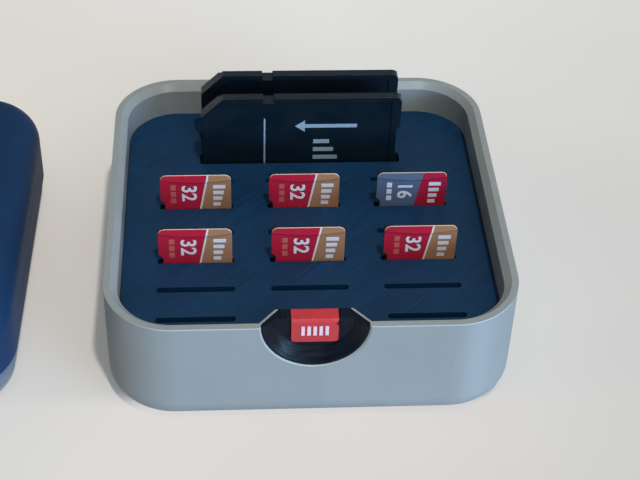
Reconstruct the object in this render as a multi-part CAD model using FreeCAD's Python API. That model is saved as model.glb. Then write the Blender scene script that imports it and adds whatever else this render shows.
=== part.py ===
import FreeCAD, Part
import math
import os

# Memory card case: a rounded-square tray with a slotted insert, a thumb scoop in its front wall,
# six small cards and two card adapters standing in the slots, and the lid lying beside the tray.
# Sizes in millimetres. The origin is the centre of the tray's underside, +Z is up and -Y is the
# side with the thumb scoop.

# Small card, standing on its contact end with the label towards -Y
MICRO_WIDTH = 11.0
MICRO_LENGTH = 15.0
MICRO_THICK = 0.7
MICRO_TOP_ROUND = 1.0
MICRO_FOOT_BEVEL = 0.4
MICRO_SHOULDER_DROP = 4.9
MICRO_NOTCH = 0.65
MICRO_NOTCH_RUN = 1.0
MICRO_HOOK = 0.3
MICRO_HOOK_RUN = 0.8
MICRO_STEP = 1.3
MICRO_LIP = 0.3
MICRO_LIP_RUN = 1.6
MICRO_BACK_BEVEL = 0.6
MICRO_RIDGE_DROP = 1.35
MICRO_RIDGE_RISE = 0.15
MICRO_RIDGE_RADIUS = 30.0
MICRO_PAD_COUNT = 8
MICRO_PAD_PITCH = 1.1
MICRO_PAD_WIDTH = 0.8
MICRO_PAD_LENGTH = 2.9
MICRO_PAD_INSET = 0.5
MICRO_PAD_THICK = 0.1

# Card adapter, lying on its long edge with the label towards -Y and the contacts towards -X
ADAPTER_LENGTH = 32.0
ADAPTER_THICK = 2.1
ADAPTER_RAIL_THICK = 1.4
ADAPTER_RAIL_WIDTH = 0.75
ADAPTER_FRONT_THICK = 0.7
ADAPTER_ROUND = 1.0
ADAPTER_CORNER_CUT = 3.6
ADAPTER_NOTCH_FROM_END = 9.9
ADAPTER_NOTCH_WIDTH = 1.7
ADAPTER_NOTCH_DEPTH = 0.85
ADAPTER_MOUTH_RECESS = 0.56
ADAPTER_MOUTH_WIDTH = 12.6
LABEL_MARGIN = 1.0
LABEL_RECESS = 0.12
POCKET_PLAY = 0.1
POCKET_THICK = 1.1
POCKET_LENGTH = 15.2
LEAD_COUNT = 8
LEAD_PITCH = 2.5
LEAD_PAD_WIDTH = 1.4
LEAD_PAD_LENGTH = 3.8
LEAD_WIDTH = 0.5
LEAD_THICK = 0.15
LEAD_REACH = 3.0
LEAD_FIRST = 2.2
LEAD_LAST = 4.3
LEAD_END_WALL = 0.8
LEAD_FINGER_RUN = 1.2
WINDOW_PLAY = 0.15
LOCK_FROM_END = 6.5
LOCK_LENGTH = 4.6
LOCK_HEIGHT = 1.0
LOCK_THICK = 0.7
LOCK_TRAVEL = 2.0
LOCK_PLAY = 0.1
LOCK_GRIP = 0.2
LOCK_GRIP_COUNT = 3
LOCK_GRIP_PITCH = 0.8

# Slots and their grid: rows are counted from the front, columns from the left
SLOT_PLAY = 0.2
SLOT_END_PLAY = 0.3
SLOT_BEVEL = 0.3
COLUMNS = 3
MICRO_ROWS = 6
WIDE_ROWS = 2
COLUMN_RIB = 5.3
ROW_PITCH = 6.38
ROW_MARGIN = 5.67
MICRO_SKIN = 3.4
WIDE_SKIN = 0.65
FILLED_ROWS = (4, 2)

# Tray
WALL = 2.0
FLOOR = 1.6
BASE_HEIGHT = 19.0
RECESS_DEPTH = 5.5
CASE_CORNER = 10.0
BASE_EDGE = 4.0
RIM_CHAMFER = 1.0
INSERT_PLAY = 0.1

# Thumb scoop: depths are measured inwards from the front face, radii from the notch axis,
# which runs along Y in the middle of the front rim
SCOOP_RADIUS = 7.6
SCOOP_EDGE = 0.3
SCOOP_SET_BACK = 0.15
SCOOP_BAND = 0.8
SCOOP_DEPTH = 1.8
SCOOP_FLOOR_RADIUS = 5.6
SCOOP_BACK = 1.95
SCOOP_BACK_RADIUS = 5.05
SCOOP_PLAY = 0.05
NOTCH_BEVEL = 0.25
COLLAR_WALL = 0.42
COLLAR_PLAY = 0.1

# Card-shaped emblem in the scoop's flat back
EMBLEM_WIDTH = 6.7
EMBLEM_HEIGHT = 4.15
EMBLEM_RAISE = 0.45
EMBLEM_ROUND = 0.6
EMBLEM_BEVEL = 0.35
EMBLEM_NOTCH_DROP = 0.75
EMBLEM_NOTCH_DEPTH = 0.45
EMBLEM_NOTCH_RUN = 0.6
EMBLEM_PLAY = 0.05
MARK_COUNT = 5
MARK_PITCH = 0.85
MARK_WIDTH = 0.5
MARK_LENGTH = 1.7
MARK_DROP = 1.1
MARK_RAISE = 0.15

# Lid, standing on its locating lip beside the tray
LID_HEIGHT = 11.3
LID_TOP = 1.8
LID_EDGE = 4.0
BAND_HEIGHT = 3.2
BAND_INSET = 0.6
LIP_DROP = 1.5
LIP_WALL = 1.6
LIP_PLAY = 0.15
LIP_NOTCH_PLAY = 0.6
LID_DISTANCE = 13.4
LID_SHIFT = 2.2
LID_TURN = -0.85

# Sizes that follow from the values above
ADAPTER_HEIGHT = LEAD_FIRST + (LEAD_COUNT - 1) * LEAD_PITCH + LEAD_LAST
MICRO_SLOT_LENGTH = MICRO_WIDTH + 2 * SLOT_END_PLAY
MICRO_SLOT_THICK = MICRO_THICK + 2 * SLOT_PLAY
WIDE_SLOT_LENGTH = ADAPTER_LENGTH + 2 * SLOT_END_PLAY
WIDE_SLOT_THICK = ADAPTER_THICK + 2 * SLOT_PLAY
COLUMN_PITCH = MICRO_SLOT_LENGTH + COLUMN_RIB
ROW_COUNT = MICRO_ROWS + WIDE_ROWS
CAVITY_WIDTH = COLUMNS * MICRO_SLOT_LENGTH + (COLUMNS + 1) * COLUMN_RIB
CAVITY_DEPTH = (ROW_COUNT - 1) * ROW_PITCH + 2 * ROW_MARGIN
CAVITY_EDGE = BASE_EDGE - WALL
CASE_WIDTH = CAVITY_WIDTH + 2 * WALL
CASE_DEPTH = CAVITY_DEPTH + 2 * WALL
FRONT = -CASE_DEPTH / 2
INSERT_TOP = BASE_HEIGHT - RECESS_DEPTH
MICRO_SEAT = FLOOR + MICRO_SKIN
WIDE_SEAT = FLOOR + WIDE_SKIN
SCOOP_END = SCOOP_DEPTH + SCOOP_BACK
LID_MIDDLE = FreeCAD.Vector(-CASE_WIDTH - LID_DISTANCE, LID_SHIFT, 0)
OVERCUT = 1.0
TOLERANCE = 1e-6


def plan(height):
    """Places outline points (x, y) on a level plane."""
    return lambda x, y: FreeCAD.Vector(x, y, height)


def upright(depth):
    """Places outline points (x, z) on a plane that faces the front."""
    return lambda x, z: FreeCAD.Vector(x, depth, z)


def rounded_wire(corners, place):
    """Closed wire through corners given as (u, v, rounding radius)."""
    points = [FreeCAD.Vector(u, v, 0) for u, v, _ in corners]
    starts, middles, ends = [], [], []
    for i, corner in enumerate(points):
        radius = corners[i][2]
        back = (points[i - 1] - corner).normalize()
        ahead = (points[(i + 1) % len(points)] - corner).normalize()
        half_angle = back.getAngle(ahead) / 2
        run = radius / math.tan(half_angle)
        inward = (back + ahead).normalize()
        starts.append(corner + back * run)
        middles.append(corner + inward * (radius / math.sin(half_angle) - radius))
        ends.append(corner + ahead * run)
    edges = []
    for i, (start, middle, end) in enumerate(zip(starts, middles, ends)):
        if (start - end).Length > TOLERANCE:
            arc = [place(p.x, p.y) for p in (start, middle, end)]
            edges.append(Part.Arc(*arc).toShape())
        following = starts[(i + 1) % len(starts)]
        if (following - end).Length > TOLERANCE:
            edges.append(Part.makeLine(place(end.x, end.y), place(following.x, following.y)))
    return Part.Wire(edges)


def rectangle(width, depth, radius=0):
    x, y = width / 2, depth / 2
    return [(-x, -y, radius), (x, -y, radius), (x, y, radius), (-x, y, radius)]


def rectangle_between(low_u, low_v, high_u, high_v, radius=0):
    return [
        (low_u, low_v, radius),
        (high_u, low_v, radius),
        (high_u, high_v, radius),
        (low_u, high_v, radius),
    ]


def case_plan(inset):
    """Plan outline of the case, drawn in by an inset."""
    return rectangle(CASE_WIDTH - 2 * inset, CASE_DEPTH - 2 * inset, CASE_CORNER - inset)


def level_block(corners, low, high):
    """Outline in plan, raised from one height to another."""
    return Part.Face(rounded_wire(corners, plan(low))).extrude(FreeCAD.Vector(0, 0, high - low))


def upright_plate(corners, near, far):
    """Outline seen from the front, made thick from one depth to another."""
    return Part.Face(rounded_wire(corners, upright(near))).extrude(FreeCAD.Vector(0, far - near, 0))


def side_profile(points, half_width):
    """Profile of (y, z) points drawn across the width."""
    outline = [FreeCAD.Vector(-half_width, y, z) for y, z in points]
    face = Part.Face(Part.makePolygon(outline + outline[:1]))
    return face.extrude(FreeCAD.Vector(2 * half_width, 0, 0))


def level_edges(solid, height):
    """Edges that lie wholly at one height."""
    found = []
    for edge in solid.Edges:
        box = edge.BoundBox
        if abs(box.ZMin - height) < TOLERANCE and abs(box.ZMax - height) < TOLERANCE:
            found.append(edge)
    return found


def half_dish(profile):
    """Half turn, below the rim, of a profile of (depth, radius) points about the notch axis."""
    points = [FreeCAD.Vector(radius, FRONT + depth, BASE_HEIGHT) for depth, radius in profile]
    face = Part.Face(Part.makePolygon(points + points[:1]))
    return face.revolve(FreeCAD.Vector(0, 0, BASE_HEIGHT), FreeCAD.Vector(0, 1, 0), 180)


def moved(shape, x, y, z):
    copy = shape.copy()
    copy.translate(FreeCAD.Vector(x, y, z))
    return copy


def scoop_cone_radius(depth):
    """Outer radius of the scoop's tapered part at a depth behind its straight band."""
    share = (depth - SCOOP_BAND) / (SCOOP_END - SCOOP_BAND)
    return SCOOP_RADIUS + share * (SCOOP_BACK_RADIUS - SCOOP_RADIUS)


def collar_radius(depth):
    return scoop_cone_radius(depth) + SCOOP_PLAY + COLLAR_WALL


def row_y(row):
    return -CAVITY_DEPTH / 2 + ROW_MARGIN + row * ROW_PITCH


def wide_row_y(row):
    """Wide slots share the rear edge of the row grid."""
    return row_y(MICRO_ROWS + row) + MICRO_SLOT_THICK / 2 - WIDE_SLOT_THICK / 2


def column_x(column):
    return (column - (COLUMNS - 1) / 2) * COLUMN_PITCH


def base_shell():
    shell = level_block(case_plan(0), 0, BASE_HEIGHT)
    shell = shell.makeFillet(BASE_EDGE, level_edges(shell, 0))
    cavity = level_block(case_plan(WALL), FLOOR, BASE_HEIGHT)
    cavity = cavity.makeChamfer(CAVITY_EDGE, level_edges(cavity, FLOOR))
    flare = Part.makeLoft([
        rounded_wire(case_plan(WALL), plan(BASE_HEIGHT - RIM_CHAMFER)),
        rounded_wire(case_plan(WALL - RIM_CHAMFER), plan(BASE_HEIGHT)),
    ], True, True)
    shell = shell.cut([cavity, flare])
    collar_start = WALL / 2
    collar = half_dish([
        (collar_start, 0),
        (collar_start, collar_radius(collar_start)),
        (SCOOP_END, collar_radius(SCOOP_END)),
        (SCOOP_END, 0),
    ])
    seat = half_dish([
        (-OVERCUT, 0),
        (-OVERCUT, SCOOP_RADIUS + SCOOP_PLAY + NOTCH_BEVEL + OVERCUT),
        (NOTCH_BEVEL, SCOOP_RADIUS + SCOOP_PLAY),
        (SCOOP_BAND, SCOOP_RADIUS + SCOOP_PLAY),
        (SCOOP_END + OVERCUT, scoop_cone_radius(SCOOP_END + OVERCUT) + SCOOP_PLAY),
        (SCOOP_END + OVERCUT, 0),
    ])
    return shell.fuse(collar).cut(seat).removeSplitter()


def card_slot(length, thick, x, y, seat):
    """Slot with bevelled corners, open at the insert's top."""
    end, side, bevel = length / 2, thick / 2, SLOT_BEVEL
    outline = [
        (-end + bevel, -side, 0),
        (end - bevel, -side, 0),
        (end, -side + bevel, 0),
        (end, side - bevel, 0),
        (end - bevel, side, 0),
        (-end + bevel, side, 0),
        (-end, side - bevel, 0),
        (-end, -side + bevel, 0),
    ]
    return moved(level_block(outline, seat, INSERT_TOP + OVERCUT), x, y, 0)


def card_insert():
    block = level_block(case_plan(WALL + INSERT_PLAY), FLOOR, INSERT_TOP)
    block = block.makeChamfer(CAVITY_EDGE, level_edges(block, FLOOR))
    slots = []
    for row in range(MICRO_ROWS):
        for column in range(COLUMNS):
            behind_scoop = row == 0 and column == COLUMNS // 2
            if not behind_scoop:
                slots.append(card_slot(MICRO_SLOT_LENGTH, MICRO_SLOT_THICK,
                                       column_x(column), row_y(row), MICRO_SEAT))
    for row in range(WIDE_ROWS):
        slots.append(card_slot(WIDE_SLOT_LENGTH, WIDE_SLOT_THICK, 0, wide_row_y(row), WIDE_SEAT))
    collar_room = half_dish([
        (WALL - OVERCUT, 0),
        (WALL - OVERCUT, collar_radius(WALL - OVERCUT) + COLLAR_PLAY),
        (SCOOP_END + COLLAR_PLAY, collar_radius(SCOOP_END + COLLAR_PLAY) + COLLAR_PLAY),
        (SCOOP_END + COLLAR_PLAY, 0),
    ])
    return block.cut(slots + [collar_room])


def emblem_outline(play):
    """Card outline with rounded lower corners and a small V notch in its right side."""
    side = EMBLEM_WIDTH / 2 + play
    top = BASE_HEIGHT
    foot = BASE_HEIGHT - EMBLEM_HEIGHT - play
    notch = top - EMBLEM_NOTCH_DROP
    return [
        (-side, top, 0),
        (-side, foot, EMBLEM_ROUND),
        (side, foot, EMBLEM_ROUND),
        (side, notch - EMBLEM_NOTCH_RUN, 0),
        (side - EMBLEM_NOTCH_DEPTH, notch, 0),
        (side, notch + EMBLEM_NOTCH_RUN, 0),
        (side, top, 0),
    ]


def thumb_scoop():
    dish = half_dish([
        (SCOOP_SET_BACK, SCOOP_RADIUS - SCOOP_EDGE),
        (SCOOP_DEPTH, SCOOP_FLOOR_RADIUS),
        (SCOOP_DEPTH, 0),
        (SCOOP_END, 0),
        (SCOOP_END, SCOOP_BACK_RADIUS),
        (SCOOP_BAND, SCOOP_RADIUS),
        (SCOOP_SET_BACK, SCOOP_RADIUS),
    ])
    window = upright_plate(emblem_outline(EMBLEM_PLAY), FRONT, FRONT + SCOOP_END + OVERCUT)
    return dish.cut(window)


def card_emblem():
    face_y = FRONT + SCOOP_DEPTH - EMBLEM_RAISE
    tile = upright_plate(emblem_outline(0), face_y, FRONT + SCOOP_END)
    top_bevel = side_profile([
        (face_y - OVERCUT, BASE_HEIGHT + OVERCUT),
        (face_y - OVERCUT, BASE_HEIGHT - EMBLEM_BEVEL - OVERCUT),
        (face_y + EMBLEM_BEVEL + OVERCUT, BASE_HEIGHT + OVERCUT),
    ], EMBLEM_WIDTH)
    return tile.cut(top_bevel)


def emblem_marks():
    face_y = FRONT + SCOOP_DEPTH - EMBLEM_RAISE
    top = BASE_HEIGHT - MARK_DROP
    bars = []
    for i in range(MARK_COUNT):
        x = (i - (MARK_COUNT - 1) / 2) * MARK_PITCH
        outline = rectangle_between(x - MARK_WIDTH / 2, top - MARK_LENGTH, x + MARK_WIDTH / 2, top)
        bars.append(upright_plate(outline, face_y - MARK_RAISE, face_y))
    return Part.makeCompound(bars)


def micro_outline():
    """Front outline of the small card, from the foot on the right, with the keyed side on the left."""
    side = MICRO_WIDTH / 2
    shoulder = MICRO_LENGTH - MICRO_SHOULDER_DROP
    notch_head = shoulder - MICRO_NOTCH
    notch_foot = notch_head - MICRO_NOTCH_RUN
    hook_head = notch_foot - (MICRO_NOTCH - MICRO_HOOK)
    hook_foot = hook_head - MICRO_HOOK_RUN
    narrow_head = hook_foot - (MICRO_STEP - MICRO_HOOK)
    return [
        (side - MICRO_FOOT_BEVEL, 0, 0),
        (side, MICRO_FOOT_BEVEL, 0),
        (side, MICRO_LENGTH, MICRO_TOP_ROUND),
        (-side, MICRO_LENGTH, MICRO_TOP_ROUND),
        (-side, shoulder, 0),
        (-side + MICRO_NOTCH, notch_head, 0),
        (-side + MICRO_NOTCH, notch_foot, 0),
        (-side + MICRO_HOOK, hook_head, 0),
        (-side + MICRO_HOOK, hook_foot, 0),
        (-side + MICRO_STEP, narrow_head, 0),
        (-side + MICRO_STEP, MICRO_FOOT_BEVEL, 0),
        (-side + MICRO_STEP + MICRO_FOOT_BEVEL, 0, 0),
    ]


def micro_pads(thick):
    """Contact pads side by side over the narrow foot, on the back of the card."""
    middle = MICRO_STEP / 2
    bed = MICRO_THICK / 2 - MICRO_PAD_THICK
    pads = []
    for i in range(MICRO_PAD_COUNT):
        x = middle + (i - (MICRO_PAD_COUNT - 1) / 2) * MICRO_PAD_PITCH
        outline = rectangle_between(x - MICRO_PAD_WIDTH / 2, MICRO_PAD_INSET,
                                    x + MICRO_PAD_WIDTH / 2, MICRO_PAD_INSET + MICRO_PAD_LENGTH)
        pads.append(upright_plate(outline, bed, bed + thick))
    return pads


def micro_card():
    face, back = -MICRO_THICK / 2, MICRO_THICK / 2
    lip = back + MICRO_LIP
    body = side_profile([
        (face, 0),
        (back, 0),
        (back, MICRO_LENGTH - MICRO_LIP_RUN - MICRO_LIP),
        (lip, MICRO_LENGTH - MICRO_LIP_RUN),
        (lip, MICRO_LENGTH - MICRO_BACK_BEVEL),
        (lip - MICRO_BACK_BEVEL, MICRO_LENGTH),
        (face, MICRO_LENGTH),
    ], MICRO_WIDTH)
    ridge_foot = MICRO_LENGTH - MICRO_RIDGE_DROP
    ridge = side_profile([
        (face, ridge_foot),
        (face, MICRO_LENGTH),
        (face - MICRO_RIDGE_RISE, ridge_foot),
    ], MICRO_WIDTH)
    arc_middle = FreeCAD.Vector(0, -MICRO_THICK, ridge_foot + MICRO_RIDGE_RADIUS)
    arc = Part.makeCylinder(MICRO_RIDGE_RADIUS, MICRO_THICK, arc_middle, FreeCAD.Vector(0, 1, 0))
    outline = upright_plate(micro_outline(), face - OVERCUT, lip + OVERCUT)
    card = body.fuse(ridge.common(arc)).common(outline)
    return card.cut(micro_pads(MICRO_PAD_THICK + OVERCUT)).removeSplitter()


def micro_contacts():
    return Part.makeCompound(micro_pads(MICRO_PAD_THICK))


def adapter_outline():
    """Front outline of the adapter, from its lower contact end, with the card mouth on the right."""
    side = ADAPTER_LENGTH / 2
    top = ADAPTER_HEIGHT
    notch = -side + ADAPTER_NOTCH_FROM_END
    inner = side - ADAPTER_MOUTH_RECESS
    mouth_low = (ADAPTER_HEIGHT - ADAPTER_MOUTH_WIDTH) / 2
    mouth_high = ADAPTER_HEIGHT - mouth_low
    return [
        (-side, 0, ADAPTER_ROUND),
        (side, 0, ADAPTER_ROUND),
        (side, mouth_low, 0),
        (inner, mouth_low + ADAPTER_MOUTH_RECESS, 0),
        (inner, mouth_high - ADAPTER_MOUTH_RECESS, 0),
        (side, mouth_high, 0),
        (side, top, ADAPTER_ROUND),
        (notch + ADAPTER_NOTCH_WIDTH, top, 0),
        (notch + ADAPTER_NOTCH_WIDTH, top - ADAPTER_NOTCH_DEPTH, 0),
        (notch, top - ADAPTER_NOTCH_DEPTH, 0),
        (notch, top, 0),
        (-side + ADAPTER_CORNER_CUT, top, 0),
        (-side, top - ADAPTER_CORNER_CUT, 0),
    ]


ADAPTER_FACE = -ADAPTER_THICK / 2
ADAPTER_SEAM = ADAPTER_FACE + ADAPTER_FRONT_THICK
ADAPTER_REAR = ADAPTER_THICK / 2
LEAD_BED = ADAPTER_FACE + ADAPTER_RAIL_THICK
MOUTH_X = ADAPTER_LENGTH / 2 - ADAPTER_MOUTH_RECESS
POCKET_END = MOUTH_X - POCKET_LENGTH
POCKET_WIDTH = MICRO_WIDTH + 2 * POCKET_PLAY
LOCK_LOW_X = -ADAPTER_LENGTH / 2 + LOCK_FROM_END
LOCK_MIDDLE_Y = ADAPTER_SEAM


def card_pocket():
    """Room for a small card, open at the adapter's right end."""
    low = (ADAPTER_HEIGHT - POCKET_WIDTH) / 2
    outline = rectangle_between(POCKET_END, low, MOUTH_X + OVERCUT, low + POCKET_WIDTH)
    return upright_plate(outline, -POCKET_THICK / 2, POCKET_THICK / 2)


def lock_room():
    """Room in the lower edge for the write-lock slider and its travel."""
    outline = rectangle_between(LOCK_LOW_X - LOCK_PLAY, -OVERCUT,
                                LOCK_LOW_X + LOCK_LENGTH + LOCK_TRAVEL + LOCK_PLAY, LOCK_HEIGHT + LOCK_PLAY)
    half = LOCK_THICK / 2 + LOCK_PLAY
    return upright_plate(outline, LOCK_MIDDLE_Y - half, LOCK_MIDDLE_Y + half)


def lead_z(lead):
    return LEAD_FIRST + lead * LEAD_PITCH


def adapter_front():
    plate = upright_plate(adapter_outline(), ADAPTER_FACE, ADAPTER_SEAM)
    side = ADAPTER_LENGTH / 2 - LABEL_MARGIN
    cut = ADAPTER_CORNER_CUT
    top = ADAPTER_HEIGHT - LABEL_MARGIN
    label = upright_plate([
        (-side, LABEL_MARGIN, 0),
        (side - ADAPTER_MOUTH_RECESS, LABEL_MARGIN, 0),
        (side - ADAPTER_MOUTH_RECESS, top, 0),
        (-side + cut, top, 0),
        (-side, top - cut, 0),
    ], ADAPTER_FACE - OVERCUT, ADAPTER_FACE + LABEL_RECESS)
    return plate.cut([label, card_pocket(), lock_room()])


def adapter_rear():
    plate = upright_plate(adapter_outline(), ADAPTER_SEAM, ADAPTER_REAR)
    wide = ADAPTER_LENGTH
    rails = []
    for low in (-OVERCUT, ADAPTER_HEIGHT - ADAPTER_RAIL_WIDTH):
        outline = rectangle_between(-wide, low, wide, low + ADAPTER_RAIL_WIDTH + OVERCUT)
        rails.append(upright_plate(outline, LEAD_BED, ADAPTER_REAR + OVERCUT))
    bed_low = lead_z(0) - LEAD_PAD_WIDTH / 2 - WINDOW_PLAY
    bed_high = lead_z(LEAD_COUNT - 1) + LEAD_PAD_WIDTH / 2 + WINDOW_PLAY
    bed_start = -ADAPTER_LENGTH / 2 + LEAD_END_WALL - WINDOW_PLAY
    bed = upright_plate(rectangle_between(bed_start, bed_low, POCKET_END, bed_high), ADAPTER_SEAM, LEAD_BED)
    windows = []
    for lead in range(LEAD_COUNT):
        low = lead_z(lead) - LEAD_PAD_WIDTH / 2 + WINDOW_PLAY
        high = lead_z(lead) + LEAD_PAD_WIDTH / 2 - WINDOW_PLAY
        start = -ADAPTER_LENGTH / 2 + LEAD_END_WALL + WINDOW_PLAY
        outline = rectangle_between(start, low, start + LEAD_PAD_LENGTH - 2 * WINDOW_PLAY, high)
        windows.append(upright_plate(outline, LEAD_BED - OVERCUT / 2, ADAPTER_REAR + OVERCUT))
    return plate.cut(rails + [bed, card_pocket(), lock_room()] + windows)


def adapter_contacts():
    """Flat leads on the bed: a wide pad in each window, a slanted run and a finger in the card pocket."""
    pad_start = -ADAPTER_LENGTH / 2 + LEAD_END_WALL
    pad_end = pad_start + LEAD_PAD_LENGTH
    half_pad, half = LEAD_PAD_WIDTH / 2, LEAD_WIDTH / 2
    leads = []
    for lead in range(LEAD_COUNT):
        pad_z = lead_z(lead)
        finger_z = ADAPTER_HEIGHT / 2 + (lead - (LEAD_COUNT - 1) / 2) * MICRO_PAD_PITCH
        outline = [
            (pad_start, pad_z - half_pad, 0),
            (pad_end, pad_z - half_pad, 0),
            (pad_end, pad_z - half, 0),
            (POCKET_END - LEAD_FINGER_RUN, finger_z - half, 0),
            (POCKET_END + LEAD_REACH, finger_z - half, 0),
            (POCKET_END + LEAD_REACH, finger_z + half, 0),
            (POCKET_END - LEAD_FINGER_RUN, finger_z + half, 0),
            (pad_end, pad_z + half, 0),
            (pad_end, pad_z + half_pad, 0),
            (pad_start, pad_z + half_pad, 0),
        ]
        leads.append(upright_plate(outline, LEAD_BED - LEAD_THICK, LEAD_BED))
    return Part.makeCompound(leads)


def adapter_lock():
    """Write-lock slider with grip grooves in its outer edge, at the contact end of its travel."""
    high = LOCK_LOW_X + LOCK_LENGTH
    slider = upright_plate(rectangle_between(LOCK_LOW_X, 0, high, LOCK_HEIGHT),
                           LOCK_MIDDLE_Y - LOCK_THICK / 2, LOCK_MIDDLE_Y + LOCK_THICK / 2)
    middle = LOCK_LOW_X + LOCK_LENGTH / 2
    grooves = []
    for i in range(LOCK_GRIP_COUNT):
        x = middle + (i - (LOCK_GRIP_COUNT - 1) / 2) * LOCK_GRIP_PITCH
        outline = [(x - LOCK_GRIP, 0, 0), (x + LOCK_GRIP, 0, 0), (x, LOCK_GRIP, 0)]
        grooves.append(upright_plate(outline, LOCK_MIDDLE_Y - LOCK_THICK, LOCK_MIDDLE_Y + LOCK_THICK))
    return slider.cut(grooves)


LIP_INSET = WALL + LIP_PLAY
CAP_FOOT = LIP_DROP + BAND_HEIGHT
LID_CEILING = CAP_FOOT + LID_HEIGHT - LID_TOP


def beside_tray(shape):
    """Shape drawn at the origin, turned and set down where the lid lies."""
    copy = shape.copy()
    copy.rotate(FreeCAD.Vector(0, 0, 0), FreeCAD.Vector(0, 0, 1), LID_TURN)
    return moved(copy, *LID_MIDDLE)


def lid_cap():
    cap = level_block(case_plan(0), CAP_FOOT, CAP_FOOT + LID_HEIGHT)
    cap = cap.makeFillet(LID_EDGE, level_edges(cap, CAP_FOOT + LID_HEIGHT))
    room = level_block(case_plan(WALL), CAP_FOOT - OVERCUT, LID_CEILING)
    return beside_tray(cap.cut(room))


def lid_lip():
    """Ring glued under the cap: its band rests on the tray's rim and its lip fits inside the tray.

    A gap in the lip at the front clears the thumb scoop.
    """
    lip = level_block(case_plan(LIP_INSET), 0, LIP_DROP)
    band = level_block(case_plan(BAND_INSET), LIP_DROP, CAP_FOOT)
    hollow = level_block(case_plan(LIP_INSET + LIP_WALL), -OVERCUT, CAP_FOOT + OVERCUT)
    gap_width = 2 * (collar_radius(WALL) + LIP_NOTCH_PLAY)
    gap_depth = 2 * (LIP_INSET + LIP_WALL + OVERCUT)
    gap = level_block(rectangle(gap_width, gap_depth), -OVERCUT, LIP_DROP)
    return beside_tray(lip.fuse(band).cut([hollow, moved(gap, 0, FRONT, 0)]))


def build():
    nodes = {
        "base_shell": base_shell(),
        "card_insert": card_insert(),
        "thumb_scoop": thumb_scoop(),
        "card_emblem": card_emblem(),
        "emblem_marks": emblem_marks(),
        "lid_cap": lid_cap(),
        "lid_lip": lid_lip(),
    }
    card, contacts = micro_card(), micro_contacts()
    number = 0
    for row in FILLED_ROWS:
        for column in range(COLUMNS):
            number += 1
            place = (column_x(column), row_y(row), MICRO_SEAT)
            nodes[f"micro_card_{number}"] = moved(card, *place)
            nodes[f"micro_card_{number}_contacts"] = moved(contacts, *place)
    adapter = {
        "front": adapter_front(),
        "rear": adapter_rear(),
        "contacts": adapter_contacts(),
        "lock": adapter_lock(),
    }
    for row in range(WIDE_ROWS):
        for piece, shape in adapter.items():
            nodes[f"adapter_{row + 1}_{piece}"] = moved(shape, 0, wide_row_y(row), WIDE_SEAT)
    return nodes


os.makedirs("parts", exist_ok=True)
for node, shape in build().items():
    shape.exportStep(f"parts/{node}.step")
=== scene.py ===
import math

import bpy
from mathutils import Matrix, Vector


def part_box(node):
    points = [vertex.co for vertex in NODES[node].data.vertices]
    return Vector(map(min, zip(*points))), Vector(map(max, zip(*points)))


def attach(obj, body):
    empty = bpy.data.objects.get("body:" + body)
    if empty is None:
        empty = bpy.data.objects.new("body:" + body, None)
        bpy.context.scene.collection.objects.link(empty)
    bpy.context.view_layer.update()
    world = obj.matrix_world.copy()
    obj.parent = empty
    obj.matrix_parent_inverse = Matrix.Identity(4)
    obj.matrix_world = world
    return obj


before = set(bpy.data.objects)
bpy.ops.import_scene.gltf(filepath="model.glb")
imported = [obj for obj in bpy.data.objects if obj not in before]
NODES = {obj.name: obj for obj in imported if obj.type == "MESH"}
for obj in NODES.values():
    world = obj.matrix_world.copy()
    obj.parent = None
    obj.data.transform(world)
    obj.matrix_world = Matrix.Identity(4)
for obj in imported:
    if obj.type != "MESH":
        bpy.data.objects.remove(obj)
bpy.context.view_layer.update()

# Looks of the memory card case: printed plastic with layer lines and hatched tops, printed card
# labels, and the photo's camera over a pale table. Lengths are in metres, in the CAD frame.
MM = 0.001
CARD_BODIES = [f"card_{place}" for place in range(1, 7)]
GREY_CARD = "card_3"
ADAPTER_BODIES = ("adapter_1", "adapter_2")

# Directions of the frame, and of the printed lines on level faces
RIGHT = Vector((1, 0, 0))
BACK = Vector((0, 1, 0))
UP = Vector((0, 0, 1))
DIAGONAL = Vector((1, 1, 0)).normalized()
CROSS_DIAGONAL = Vector((1, -1, 0)).normalized()

# Camera fitted to the card and adapter edges in the photo, with angles in degrees
CAMERA_AZIMUTH = -4.687
CAMERA_ELEVATION = 41.081
CAMERA_ROLL = 2.177
CAMERA_DISTANCE = 234.6 * MM
CAMERA_TARGET = Vector((2.46, -1.27, 10.0)) * MM
CAMERA_NEAR = 10 * MM
FOCAL_PIXELS = 1488.1
IMAGE_WIDTH = 640
SENSOR_WIDTH = 36.0

# Printed layers and lines, and how far a line, a dash of the weave and a ring keep their tone
LAYER = 0.2 * MM
LINE_WIDTH = 0.45 * MM
LINE_RUN = 14 * MM
DASH_RUN = 1.5 * MM
RING_RUN = 3.0 * MM

# Patches to the metre of the print's noises: along a layer, in bands on the walls, in clouds of tone
# and in the weave
LAYER_PATCHES = 70
BAND_PATCHES = (420, 420, 16)
CLOUD_PATCHES = 90
WEAVE_PATCHES = 170

# How far a print's roughness changes, how far the noise of its lines strays from the middle, and how many
# times their depth is added to the layers on undersides
PRINT_UNEVENNESS = 0.08
PRINT_REACH = 0.25
STEP_GAIN = 2.5

# How round the edges look
EDGE_ROUND = 0.12 * MM

# The last printed line along the rim and round the notch, with a painted highlight where its round edge
# catches the light
BEAD = 0.2 * MM
BEAD_FADE = 0.2 * BEAD
BEAD_HIGHLIGHT_GAIN = 1.7
NOTCH_BEAD = 0.8 * BEAD
NOTCH_SHARE = 0.6

# Patches to the metre of the moulded plastic's grain and handling marks, the grain's depth, and the
# patches of the inks
GRAIN_PATCHES = 9000
GRAIN_DEPTH = 0.01 * MM
MARK_PATCHES = 260
INK_PATCHES = 4000

# Scratches along the plated contacts
SCRATCH_WIDTH = 0.05 * MM
SCRATCH_RUN = 2 * MM

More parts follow.
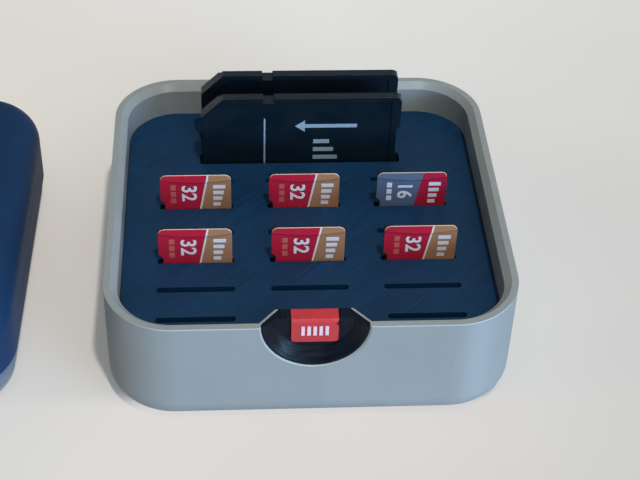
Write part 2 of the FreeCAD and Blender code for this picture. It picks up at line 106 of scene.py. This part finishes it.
# How far the small cards' thumb ridge stands proud of the label face, how thick the label's pale edge
# is, and between which depths below the card's top that edge fades out
RIDGE_RISE = 0.15 * MM
LABEL_EDGE = 0.14 * MM
LABEL_EDGE_FADE = (1.6 * MM, 1.2 * MM)

# How soft the borders on a label are, and the grain of its print
LABEL_SOFT = 0.03 * MM
FIBRE_PATCHES = 3000
FIBRE_DEPTH = 0.004 * MM

# How the two printed zones of a card label meet: the divider slants across the face
DIVIDER_TOP = 1.9 * MM
DIVIDER_SLANT = 0.18
DIVIDER_WIDTH = 0.28 * MM

# Raised prints on the card labels: places across from the card's middle, and down from its top
PRINT_THICK = 0.012 * MM
PRINT_DROP = 1.9 * MM
NUMBER_SIZE = 3.2 * MM
NUMBER_PLACE = -2.1 * MM
NUMBER_BOLDNESS = 0.02
SMALL_BARS = {"left": -3.9 * MM, "right": -3.1 * MM, "height": 0.95 * MM, "pitch": 1.3 * MM, "count": 3}
WIDE_BARS = {"left": 2.7 * MM, "right": 4.6 * MM, "height": 0.7 * MM, "pitch": 1.15 * MM, "count": 4,
             "growth": -0.25 * MM}

# Prints on the adapter labels, which lie a little below the front face: places as on the cards
ADAPTER_LABEL_RECESS = 0.12 * MM
RULE_PLACE = (-6.0 * MM, -5.75 * MM)
RULE_RISE = 3.0 * MM
RULE_DROP = 4.0 * MM
ARROW_PLACE = (-1.0 * MM, 9.0 * MM)
ARROW_DROP = 5.5 * MM
ARROW_HALF_SHAFT = 0.35 * MM
ARROW_HEAD = 1.6 * MM
ARROW_SPREAD = 0.7
ADAPTER_BARS_DROP = 8.2 * MM
ADAPTER_BARS = {"left": 2.0 * MM, "right": 4.6 * MM, "height": 0.8 * MM, "pitch": 1.6 * MM, "count": 3,
                "growth": 0.7 * MM}

# The table, with painted light that makes it paler towards one side
TABLE_HALF = 2.0
TABLE_LEVEL = -0.01 * MM
TABLE_PATCHES = 9
TABLE_LIT_SIDE = Vector((-0.6, 0.8, 0.0))
TABLE_FADE = 90 * MM
TABLE_SLOPE = 0.6

# Share of the table's own colour in what the camera sees of it, painted light which keeps its shadows
# soft:
# all over, and as a painted pool of light in a patch before the tray that fades out sideways and forwards
TABLE_LIFT = 0.15
PATCH_PAINTED_LIGHT = 0.75
PATCH_BACK = (-23 * MM, -27.5 * MM)
PATCH_SIDES = (60 * MM, 22 * MM)
PATCH_AHEAD = (-110 * MM, -40 * MM)

# Tint of the room, and its brightness from the left and from the right
ROOM_TINT = (0.91, 0.99, 1.0, 1.0)
ROOM_LEFT = 0.23
ROOM_RIGHT = 0.4


def srgb(red, green, blue):
    """Linear colour of a screen colour given from 0 to 255."""
    linear = []
    for value in (red, green, blue):
        share = value / 255
        linear.append(share / 12.92 if share <= 0.04045 else ((share + 0.055) / 1.055) ** 2.4)
    return (*linear, 1.0)


def shade(colour, factor):
    """A colour made darker or paler by a factor."""
    return (*(channel * factor for channel in colour[:3]), 1.0)


class Shader:
    """The node tree of one material, with short calls for the nodes used here."""

    def __init__(self, name):
        self.material = bpy.data.materials.new(name)
        self.material.use_nodes = True
        self.tree = self.material.node_tree
        self.tree.nodes.clear()
        self.output = self.tree.nodes.new("ShaderNodeOutputMaterial")
        self.surface = self.tree.nodes.new("ShaderNodeBsdfPrincipled")
        self.tree.links.new(self.surface.outputs["BSDF"], self.output.inputs["Surface"])
        place = self.tree.nodes.new("ShaderNodeTexCoord")
        self.position = place.outputs["Object"]
        self.normal = place.outputs["Normal"]

    def feed(self, socket, value):
        if isinstance(value, bpy.types.NodeSocket):
            self.tree.links.new(value, socket)
        else:
            socket.default_value = value

    def set(self, **values):
        """Sets inputs of the surface; underscores stand for spaces."""
        for name, value in values.items():
            self.feed(self.surface.inputs[name.replace("_", " ")], value)

    def node(self, kind, values, **settings):
        node = self.tree.nodes.new(kind)
        for name, value in settings.items():
            setattr(node, name, value)
        for key, value in values.items():
            self.feed(node.inputs[key], value)
        return node

    def math(self, operation, *values):
        return self.node("ShaderNodeMath", dict(enumerate(values)), operation=operation).outputs[0]

    def average(self, first, second):
        return self.math("MULTIPLY_ADD", first, 0.5, self.math("MULTIPLY", second, 0.5))

    def dot(self, vector, direction):
        values = {0: vector, 1: tuple(direction)}
        return self.node("ShaderNodeVectorMath", values, operation="DOT_PRODUCT").outputs["Value"]

    def along(self, direction):
        """Distance of the surface point from the origin along a direction."""
        return self.dot(self.position, direction)

    def facing(self, direction, start, full):
        """Rises from 0 to 1 between two cosines of the angle from the face to a direction."""
        return self.ramp(self.dot(self.normal, direction), start, full)

    def about_top_middle(self, node):
        """Distances across, down and in all from an axis along Y in the middle of a node's top edge."""
        low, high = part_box(node)
        across = self.math("SUBTRACT", self.along(RIGHT), (low.x + high.x) / 2)
        down = self.math("SUBTRACT", high.z, self.along(UP))
        squares = self.math("MULTIPLY_ADD", across, across, self.math("MULTIPLY", down, down))
        return across, down, self.math("SQRT", squares)

    def ramp(self, value, low, high, to_low=0.0, to_high=1.0):
        values = {"Value": value, "From Min": low, "From Max": high, "To Min": to_low, "To Max": to_high}
        return self.node("ShaderNodeMapRange", values).outputs["Result"]

    def smooth(self, value, low, high):
        values = {"Value": value, "From Min": low, "From Max": high}
        return self.node("ShaderNodeMapRange", values, interpolation_type="SMOOTHSTEP").outputs["Result"]

    def stretched(self, noise):
        """A noise, most of which lies near its middle, spread over the range from 0 to 1."""
        return self.ramp(noise, low=0.3, high=0.7)

    def mix(self, factor, first, second):
        values = {0: factor, 6: first, 7: second}
        return self.node("ShaderNodeMix", values, data_type="RGBA").outputs[2]

    def mix_value(self, factor, first, second):
        return self.node("ShaderNodeMix", {0: factor, 2: first, 3: second}).outputs[0]

    def tones(self, factor, colour, dark, pale):
        """A colour that changes between a darker and a paler shade."""
        return self.mix(factor, shade(colour, dark), shade(colour, pale))

    def rough(self, noise, middle, change, reach=0.2):
        """Roughness that follows a noise, which strays this far from its own middle."""
        self.set(Roughness=self.ramp(noise, 0.5 - reach, 0.5 + reach, middle - change, middle + change))

    def noise(self, scale=1.0, detail=2.0, roughness=0.5, vector=None):
        values = {"Scale": scale, "Detail": detail, "Roughness": roughness}
        values["Vector"] = vector or self.position
        return self.node("ShaderNodeTexNoise", values).outputs["Fac"]

    def scaled(self, scale):
        """The surface point times a scale for each axis."""
        return self.node("ShaderNodeMapping", {"Vector": self.position, "Scale": scale}).outputs[0]

    def combine(self, x, y, z):
        return self.node("ShaderNodeCombineXYZ", {0: x, 1: y, 2: z}).outputs[0]

    def lines(self, across, run, width, length):
        """Uneven lines of a width that change slowly along their run."""
        place = self.combine(self.along(across / width), self.along(run / length), 0.0)
        return self.noise(detail=1.0, roughness=0.4, vector=place)

    def bump(self, height, strength=1.0, distance=1.0):
        """Relief of the surface, over edges that look rounded."""
        rounded = self.node("ShaderNodeBevel", {"Radius": EDGE_ROUND}).outputs["Normal"]
        values = {"Height": height, "Strength": strength, "Distance": distance, "Normal": rounded}
        self.set(Normal=self.node("ShaderNodeBump", values).outputs["Normal"])

    def lift(self, colour, share):
        """Lets the camera and reflections see a share of a colour as it is, unshaded."""
        path = self.node("ShaderNodeLightPath", {}).outputs
        mirrored = self.math("MAXIMUM", path["Is Glossy Ray"], path["Is Transmission Ray"])
        seen = self.math("MAXIMUM", path["Is Camera Ray"], mirrored)
        plain = self.node("ShaderNodeEmission", {"Color": colour}).outputs["Emission"]
        values = {0: self.math("MULTIPLY", seen, share), 1: self.surface.outputs["BSDF"], 2: plain}
        mixed = self.node("ShaderNodeMixShader", values).outputs["Shader"]
        self.tree.links.new(mixed, self.output.inputs["Surface"])


def rim_highlight_mask(shader):
    """Mask of a painted highlight: 1 on the rounded last line along the tray's outer rim edge, and less
    round its notch.
    """
    low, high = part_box("base_shell")
    wall = shader.facing(UP, start=0.5, full=0.2)
    bead_foot = high.z - BEAD
    rim = shader.ramp(shader.along(UP), bead_foot - BEAD_FADE, bead_foot + BEAD_FADE)
    scoop_low, scoop_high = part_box("thumb_scoop")
    edge = (scoop_high.x - scoop_low.x) / 2 + NOTCH_BEAD
    radius = shader.about_top_middle("thumb_scoop")[-1]
    notch = shader.ramp(radius, edge + NOTCH_BEAD, edge, 0.0, NOTCH_SHARE)
    front = shader.ramp(shader.along(BACK), low.y + 2 * BEAD, low.y + BEAD)
    on_rim = shader.math("MULTIPLY", rim, wall)
    return shader.math("MAXIMUM", on_rim, shader.math("MULTIPLY", notch, front))


def upright_sheen(shader, amount):
    """Draws highlights out up and down a wall, as its level layers do."""
    around = shader.node("ShaderNodeTangent", {}, direction_type="RADIAL", axis="Z").outputs[0]
    quarter_turn = 0.25
    shader.set(Anisotropic=amount, Anisotropic_Rotation=quarter_turn, Tangent=around)


def woven(shader, hatch, amount):
    """Hatch with even ridges mixed in, in dashes and in patches."""
    turns = shader.along(CROSS_DIAGONAL * math.tau / LINE_WIDTH)
    ridges = shader.math("MULTIPLY_ADD", shader.math("SINE", turns), 0.5, 0.5)
    dashes = shader.lines(CROSS_DIAGONAL, DIAGONAL, 2 * LINE_WIDTH, DASH_RUN)
    dashes = shader.smooth(dashes, low=0.35, high=0.6)
    patches = shader.smooth(shader.noise(WEAVE_PATCHES), low=0.45, high=0.6)
    share = shader.math("MULTIPLY", shader.math("MULTIPLY", patches, dashes), amount)
    return shader.mix_value(share, hatch, ridges)


def printed_plastic(name, colour, roughness, contrast, gloss, layer_depth, hatch_depth,
                    weave=0.0, bead=None, upright=0.0):
    """Layered print: fine level lines on the walls, slanting lines on the upper faces, and a painted
    highlight where a bead mask is given.
    """
    shader = Shader(name)
    shader.set(Specular_IOR_Level=gloss)
    if upright:
        upright_sheen(shader, upright)
    layers = shader.noise(detail=1.0, vector=shader.scaled((LAYER_PATCHES, LAYER_PATCHES, 1 / LAYER)))
    hatch = shader.lines(CROSS_DIAGONAL, DIAGONAL, LINE_WIDTH, LINE_RUN)
    if weave:
        hatch = woven(shader, hatch, weave)
    on_top = shader.facing(UP, start=0.75, full=0.95)
    wall_tone = shader.average(shader.noise(vector=shader.scaled(BAND_PATCHES)), layers)
    cloud = shader.noise(CLOUD_PATCHES, detail=3.0)
    tone = shader.stretched(shader.average(cloud, shader.mix_value(on_top, wall_tone, hatch)))
    surface = shader.tones(tone, colour, 1 - contrast, 1 + contrast)
    # Painted highlight: the colour is made paler where the bead mask is 1.
    if bead:
        surface = shader.mix(bead(shader), surface, shade(colour, BEAD_HIGHLIGHT_GAIN))
    shader.set(Base_Color=surface)
    relief = shader.mix_value(on_top, layers, hatch)
    shader.rough(relief, roughness, PRINT_UNEVENNESS, PRINT_REACH)
    depth = shader.mix_value(on_top, layer_depth, hatch_depth)
    steps = shader.math("MULTIPLY_ADD", shader.facing(-UP, start=0.1, full=0.6), STEP_GAIN, 1.0)
    shader.bump(shader.math("MULTIPLY", relief, shader.math("MULTIPLY", depth, steps)))
    return shader.material


def ringed_plastic(name, node, colour, roughness, contrast, gloss, ring_depth):
    """Print whose lines run as rings about an axis along Y in the middle of a node's top edge."""
    shader = Shader(name)
    shader.set(Specular_IOR_Level=gloss)
    across, down, radius = shader.about_top_middle(node)
    steps = [(radius, LINE_WIDTH), (across, RING_RUN), (down, RING_RUN)]
    place = shader.combine(*(shader.math("DIVIDE", distance, length) for distance, length in steps))
    rings = shader.noise(detail=1.0, vector=place)
    shader.set(Base_Color=shader.tones(shader.stretched(rings), colour, 1 - contrast, 1 + contrast))
    shader.rough(rings, roughness, PRINT_UNEVENNESS, PRINT_REACH)
    shader.bump(shader.math("MULTIPLY", rings, ring_depth))
    return shader.material


def moulded_plastic(name, colour, roughness, gloss):
    """Fine even texture of an injection-moulded part, with faint handling marks."""
    shader = Shader(name)
    shader.set(Specular_IOR_Level=gloss)
    marks = shader.noise(MARK_PATCHES, detail=4.0, roughness=0.6)
    shader.set(Base_Color=shader.tones(marks, colour, dark=0.85, pale=1.15))
    shader.rough(marks, roughness, change=0.07)
    shader.bump(shader.noise(GRAIN_PATCHES), strength=0.5, distance=GRAIN_DEPTH)
    return shader.material


def plated_metal(name, colour):
    """Bright plating with fine upright scratches."""
    shader = Shader(name)
    scratches = shader.lines(RIGHT, UP, SCRATCH_WIDTH, SCRATCH_RUN)
    shader.set(Base_Color=shader.tones(scratches, colour, dark=0.85, pale=1.0))
    shader.rough(scratches, middle=0.275, change=0.075)
    shader.set(Metallic=1.0)
    return shader.material


def label_face(shader, fibre, offset, left, right, divider):
    """Colour of a label's front: two zones, and the divider where the offset from it is small."""
    is_right = shader.ramp(offset, -LABEL_SOFT, LABEL_SOFT)
    half = DIVIDER_WIDTH / 2
    is_divider = shader.ramp(shader.math("ABSOLUTE", offset), half + LABEL_SOFT, half - LABEL_SOFT)
    left_tone = shader.tones(fibre, left, dark=0.92, pale=1.08)
    right_tone = shader.tones(fibre, right, dark=0.9, pale=1.1)
    return shader.mix(is_divider, shader.mix(is_right, left_tone, right_tone), divider)


def label_plastic(name, body, left, right, divider, edge):
    """Card with a two-coloured label print on its front, a pale upper edge and a black back."""
    shader = Shader(name)
    low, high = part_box("micro_" + body)
    middle = (low.x + high.x) / 2
    drop = shader.math("SUBTRACT", high.z, shader.along(UP))
    sideways = shader.math("SUBTRACT", shader.along(RIGHT), middle + DIVIDER_TOP)
    offset = shader.math("MULTIPLY_ADD", drop, DIVIDER_SLANT, sideways)
    fibre = shader.noise(FIBRE_PATCHES, detail=3.0)
    face = label_face(shader, fibre, offset, left, right, divider)
    black = shader.mix(fibre, srgb(14, 17, 22), srgb(22, 25, 31))
    behind = shader.math("SUBTRACT", shader.along(BACK), low.y + RIDGE_RISE)
    on_edge = shader.ramp(behind, LABEL_EDGE + LABEL_SOFT, LABEL_EDGE - LABEL_SOFT)
    near_top = shader.ramp(drop, *LABEL_EDGE_FADE)
    upper = shader.math("MULTIPLY", shader.facing(UP, start=0.1, full=0.25), near_top)
    sides = shader.mix(shader.math("MULTIPLY", on_edge, upper), black, edge)
    in_front = shader.facing(-BACK, start=0.5, full=0.8)
    shader.set(Base_Color=shader.mix(in_front, sides, face))
    shader.rough(fibre, middle=0.37, change=0.05)
    shader.bump(fibre, strength=0.3, distance=FIBRE_DEPTH)
    return shader.material


def ink(name, colour):
    """Thin matt print on a label."""
    shader = Shader(name)
    fibre = shader.noise(INK_PATCHES)
    shader.set(Base_Color=shader.tones(fibre, colour, dark=0.92, pale=1.05), Roughness=0.4)
    return shader.material


def paint(material, *names):
    """Gives nodes one material in place of any others."""
    for name in names:
        slots = NODES[name].data.materials
        slots.clear()
        slots.append(material)


def plates(name, outlines, front, body, material):
    """Thin flat plates, given as lists of (x, z) corners, standing just proud of a front face."""
    points, faces = [], []
    for outline in outlines:
        start = len(points)
        count = len(outline)
        for depth in (front - PRINT_THICK, front):
            points.extend((x, depth, z) for x, z in outline)
        faces.append([start + i for i in range(count)])
        faces.append([start + count + i for i in reversed(range(count))])
        for i in range(count):
            following = (i + 1) % count
            faces.append([start + following, start + i, start + count + i, start + count + following])
    mesh = bpy.data.meshes.new(name)
    mesh.from_pydata(points, [], faces)
    mesh.materials.append(material)
    piece = bpy.data.objects.new(name, mesh)
    bpy.context.scene.collection.objects.link(piece)
    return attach(piece, body)


def bar(left, low, right, high):
    """Corners of a rectangle, in order around it."""
    return [(left, low), (right, low), (right, high), (left, high)]


def stacked_bars(middle, top, left, right, height, pitch, count, growth=0.0):
    """Bars one below another from a top edge, each reaching further right by the growth."""
    bars = []
    for i in range(count):
        head = top - i * pitch
        bars.append(bar(middle + left, head - height, middle + right + i * growth, head))
    return bars


def number(name, text, x, front, top, body, material):
    """A plain number that reads downwards, as a thin raised print."""
    curve = bpy.data.curves.new(name, "FONT")
    curve.body = text
    curve.size = NUMBER_SIZE
    curve.offset = NUMBER_SIZE * NUMBER_BOLDNESS
    curve.extrude = PRINT_THICK / 2
    curve.materials.append(material)
    piece = bpy.data.objects.new(name, curve)
    bpy.context.scene.collection.objects.link(piece)
    reading = Matrix((-UP, RIGHT, -BACK)).transposed().to_4x4()
    reading.translation = (x, front - PRINT_THICK / 2, top)
    piece.matrix_world = reading
    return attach(piece, body)


def dress_cards():
    """Labels of the six cards, each with a number and two stacks of bars."""
    red, gold = srgb(183, 28, 53), srgb(167, 119, 85)
    blue_grey, magenta = srgb(87, 101, 125), srgb(173, 25, 57)
    pale = srgb(225, 214, 208)
    white_ink = ink("label_ink_white", srgb(226, 220, 222))
    warm_ink = ink("label_ink_warm", srgb(196, 96, 84))
    for body in CARD_BODIES:
        grey = body == GREY_CARD
        zones = (blue_grey, magenta, magenta) if grey else (red, gold, pale)
        paint(label_plastic("label_" + body, body, *zones, pale), "micro_" + body)
        low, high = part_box("micro_" + body)
        middle = (low.x + high.x) / 2
        front = low.y + RIDGE_RISE
        top = high.z - PRINT_DROP
        digits = "16" if grey else "32"
        number("number_" + body, digits, middle + NUMBER_PLACE, front, top, body, white_ink)
        small = stacked_bars(middle, top, **SMALL_BARS)
        plates("small_bars_" + body, small, front, body, white_ink if grey else warm_ink)
        wide = stacked_bars(middle, top, **WIDE_BARS)
        plates("wide_bars_" + body, wide, front, body, white_ink)


def arrow(tip, end, middle):
    """Outline of a plain arrow that points towards -X."""
    neck = tip + ARROW_HEAD
    barb = ARROW_HEAD * ARROW_SPREAD
    return [
        (tip, middle),
        (neck, middle - barb),
        (neck, middle - ARROW_HALF_SHAFT),
        (end, middle - ARROW_HALF_SHAFT),
        (end, middle + ARROW_HALF_SHAFT),
        (neck, middle + ARROW_HALF_SHAFT),
        (neck, middle + barb),
    ]


def dress_adapter_labels():
    """Plain marks on the label of each adapter: a rule, an arrow to the contact end and short bars."""
    grey_ink = ink("adapter_ink", srgb(150, 165, 180))
    for body in ADAPTER_BODIES:
        low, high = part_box(body + "_front")
        middle = (low.x + high.x) / 2
        front = low.y + ADAPTER_LABEL_RECESS
        rule_left, rule_right = (middle + place for place in RULE_PLACE)
        rule = bar(rule_left, low.z + RULE_RISE, rule_right, high.z - RULE_DROP)
        tip, end = (middle + place for place in ARROW_PLACE)
        marks = [rule, arrow(tip, end, high.z - ARROW_DROP)]
        marks += stacked_bars(middle, high.z - ADAPTER_BARS_DROP, **ADAPTER_BARS)
        plates("label_marks_" + body, marks, front, body, grey_ink)


def dress_tray():
    """Grey tray, whose walls shine along their height, and the navy insert in it."""
    # The tray's rim line gets a painted highlight through its bead mask.
    tray = printed_plastic("tray_print", srgb(140, 147, 149), roughness=0.5, contrast=0.07, gloss=0.5,
                           layer_depth=0.02 * MM, hatch_depth=0.015 * MM, bead=rim_highlight_mask, upright=0.9)
    insert = printed_plastic("insert_print", srgb(12, 49, 82), roughness=0.45, contrast=0.3, gloss=0.2,
                             layer_depth=0.03 * MM, hatch_depth=0.04 * MM, weave=0.9)
    paint(tray, "base_shell")
    paint(insert, "card_insert")


def dress_scoop():
    """Black scoop with the red emblem tile and its white marks."""
    scoop = ringed_plastic("scoop_print", "thumb_scoop", srgb(8, 18, 29), roughness=0.34, contrast=0.35,
                           gloss=0.14, ring_depth=0.05 * MM)
    red = printed_plastic("emblem_red", srgb(187, 51, 58), roughness=0.42, contrast=0.12, gloss=0.35,
                          layer_depth=0.03 * MM, hatch_depth=0.02 * MM)
    white = printed_plastic("emblem_white", srgb(226, 196, 208), roughness=0.5, contrast=0.04, gloss=0.3,
                            layer_depth=0.02 * MM, hatch_depth=0.02 * MM)
    paint(scoop, "thumb_scoop")
    paint(red, "card_emblem")
    paint(white, "emblem_marks")


def dress_lid():
    """Navy cap over a grey ring."""
    cap = printed_plastic("lid_print", srgb(25, 52, 85), roughness=0.5, contrast=0.12, gloss=0.06,
                          layer_depth=0.02 * MM, hatch_depth=0.03 * MM)
    lip = printed_plastic("lip_print", srgb(101, 112, 125), roughness=0.5, contrast=0.05, gloss=0.3,
                          layer_depth=0.02 * MM, hatch_depth=0.015 * MM)
    paint(cap, "lid_cap")
    paint(lip, "lid_lip")


def dress_adapters_and_contacts():
    """Black adapters with pale lock sliders, and the gold contacts of adapters and cards."""
    black = moulded_plastic("adapter_body", srgb(4, 20, 31), roughness=0.42, gloss=0.42)
    gold = plated_metal("contact_gold", srgb(214, 170, 92))
    pale = moulded_plastic("lock_body", srgb(196, 198, 200), roughness=0.4, gloss=0.5)
    for body in ADAPTER_BODIES:
        paint(black, body + "_front", body + "_rear")
        paint(gold, body + "_contacts")
        paint(pale, body + "_lock")
    paint(gold, *(f"micro_{body}_contacts" for body in CARD_BODIES))


def table_top():
    """Pale matt surface with painted light: paler towards one side, and partly seen in its own colour,
    unshaded, most of all in a patch before the tray.
    """
    shader = Shader("table_top")
    cloud = shader.noise(TABLE_PATCHES, detail=3.0)
    # Painted light falloff: the colour grows paler towards one side.
    painted_falloff = shader.ramp(shader.along(TABLE_LIT_SIDE), -TABLE_FADE, TABLE_FADE, -TABLE_SLOPE, TABLE_SLOPE)
    colour = shader.mix(shader.math("ADD", cloud, painted_falloff), srgb(206, 204, 202), srgb(236, 234, 232))
    shader.set(Base_Color=colour, Roughness=0.6, Specular_IOR_Level=0.15)
    depth = shader.along(BACK)
    across = shader.math("ABSOLUTE", shader.along(RIGHT))
    # Painted pool of light before the tray, which lifts the tray's shadow there.
    painted_light_patch = shader.math("MULTIPLY", shader.smooth(depth, *PATCH_BACK), shader.smooth(across, *PATCH_SIDES))
    painted_light_patch = shader.math("MULTIPLY", painted_light_patch, shader.smooth(depth, *PATCH_AHEAD))
    shader.lift(colour, shader.math("MULTIPLY_ADD", painted_light_patch, PATCH_PAINTED_LIGHT, TABLE_LIFT))
    return shader.material


def table():
    """Wide level sheet just below the part."""
    corners = bar(-TABLE_HALF, -TABLE_HALF, TABLE_HALF, TABLE_HALF)
    mesh = bpy.data.meshes.new("table")
    mesh.from_pydata([(x, y, TABLE_LEVEL) for x, y in corners], [], [(0, 1, 2, 3)])
    mesh.materials.append(table_top())
    piece = bpy.data.objects.new("table", mesh)
    bpy.context.scene.collection.objects.link(piece)


def outward(azimuth, elevation):
    """Unit vector from the origin, with the azimuth in degrees from the front towards the right."""
    turn, rise = math.radians(azimuth), math.radians(elevation)
    level = math.cos(rise)
    return Vector((math.sin(turn) * level, -math.cos(turn) * level, math.sin(rise)))


def area_lamp(name, azimuth, elevation, distance, size, watts, colour):
    """Rectangular lamp aimed at the origin, which the camera doesn't see."""
    place = outward(azimuth, elevation) * distance
    lamp = bpy.data.lights.new(name, "AREA")
    lamp.shape = "RECTANGLE"
    lamp.size, lamp.size_y = size
    lamp.energy = watts
    lamp.color = colour
    holder = bpy.data.objects.new(name, lamp)
    holder.location = place
    holder.rotation_euler = place.to_track_quat("Z", "Y").to_euler()
    holder.visible_camera = False
    bpy.context.scene.collection.objects.link(holder)


def room():
    """Soft light from all round, stronger from the right."""
    world = bpy.data.worlds.new("studio")
    bpy.context.scene.world = world
    world.use_nodes = True
    nodes, links = world.node_tree.nodes, world.node_tree.links
    background = nodes["Background"]
    background.inputs["Color"].default_value = ROOM_TINT
    parts = nodes.new("ShaderNodeSeparateXYZ")
    links.new(nodes.new("ShaderNodeTexCoord").outputs["Generated"], parts.inputs[0])
    slope = nodes.new("ShaderNodeMapRange")
    links.new(parts.outputs["X"], slope.inputs["Value"])
    slope.inputs["From Min"].default_value = -1.0
    slope.inputs["To Min"].default_value = ROOM_LEFT
    slope.inputs["To Max"].default_value = ROOM_RIGHT
    links.new(slope.outputs["Result"], background.inputs["Strength"])


def lamps():
    """Soft ceiling light, a compact lamp for the crisp shadows and a low bluish window."""
    area_lamp("room_light", azimuth=50, elevation=65, distance=1.5, size=(2.2, 2.2), watts=4.4,
              colour=(1.0, 0.98, 0.95))
    area_lamp("key_light", azimuth=20, elevation=68, distance=1.5, size=(0.06, 0.06), watts=11.3,
              colour=(1.0, 0.92, 0.81))
    area_lamp("window", azimuth=43, elevation=9, distance=3.0, size=(1.8, 0.9), watts=94.0,
              colour=(0.415, 0.665, 1.0))


def photo_camera():
    """The camera as fitted to the photo, with its slight roll."""
    back = outward(CAMERA_AZIMUTH, CAMERA_ELEVATION)
    roll = math.radians(CAMERA_ROLL)
    right = UP.cross(back).normalized()
    up = back.cross(right)
    rolled_right = right * math.cos(roll) + up * math.sin(roll)
    rolled_up = up * math.cos(roll) - right * math.sin(roll)
    lens = bpy.data.cameras.new("photo_camera")
    lens.sensor_width = SENSOR_WIDTH
    lens.lens = FOCAL_PIXELS / IMAGE_WIDTH * SENSOR_WIDTH
    lens.clip_start = CAMERA_NEAR
    camera = bpy.data.objects.new("photo_camera", lens)
    turn = Matrix((rolled_right, rolled_up, back)).transposed().to_4x4()
    turn.translation = CAMERA_TARGET + back * CAMERA_DISTANCE
    camera.matrix_world = turn
    bpy.context.scene.collection.objects.link(camera)
    bpy.context.scene.camera = camera


bpy.context.scene.view_settings.view_transform = "Standard"
dress_tray()
dress_scoop()
dress_lid()
dress_adapters_and_contacts()
dress_cards()
dress_adapter_labels()
table()
room()
lamps()
photo_camera()
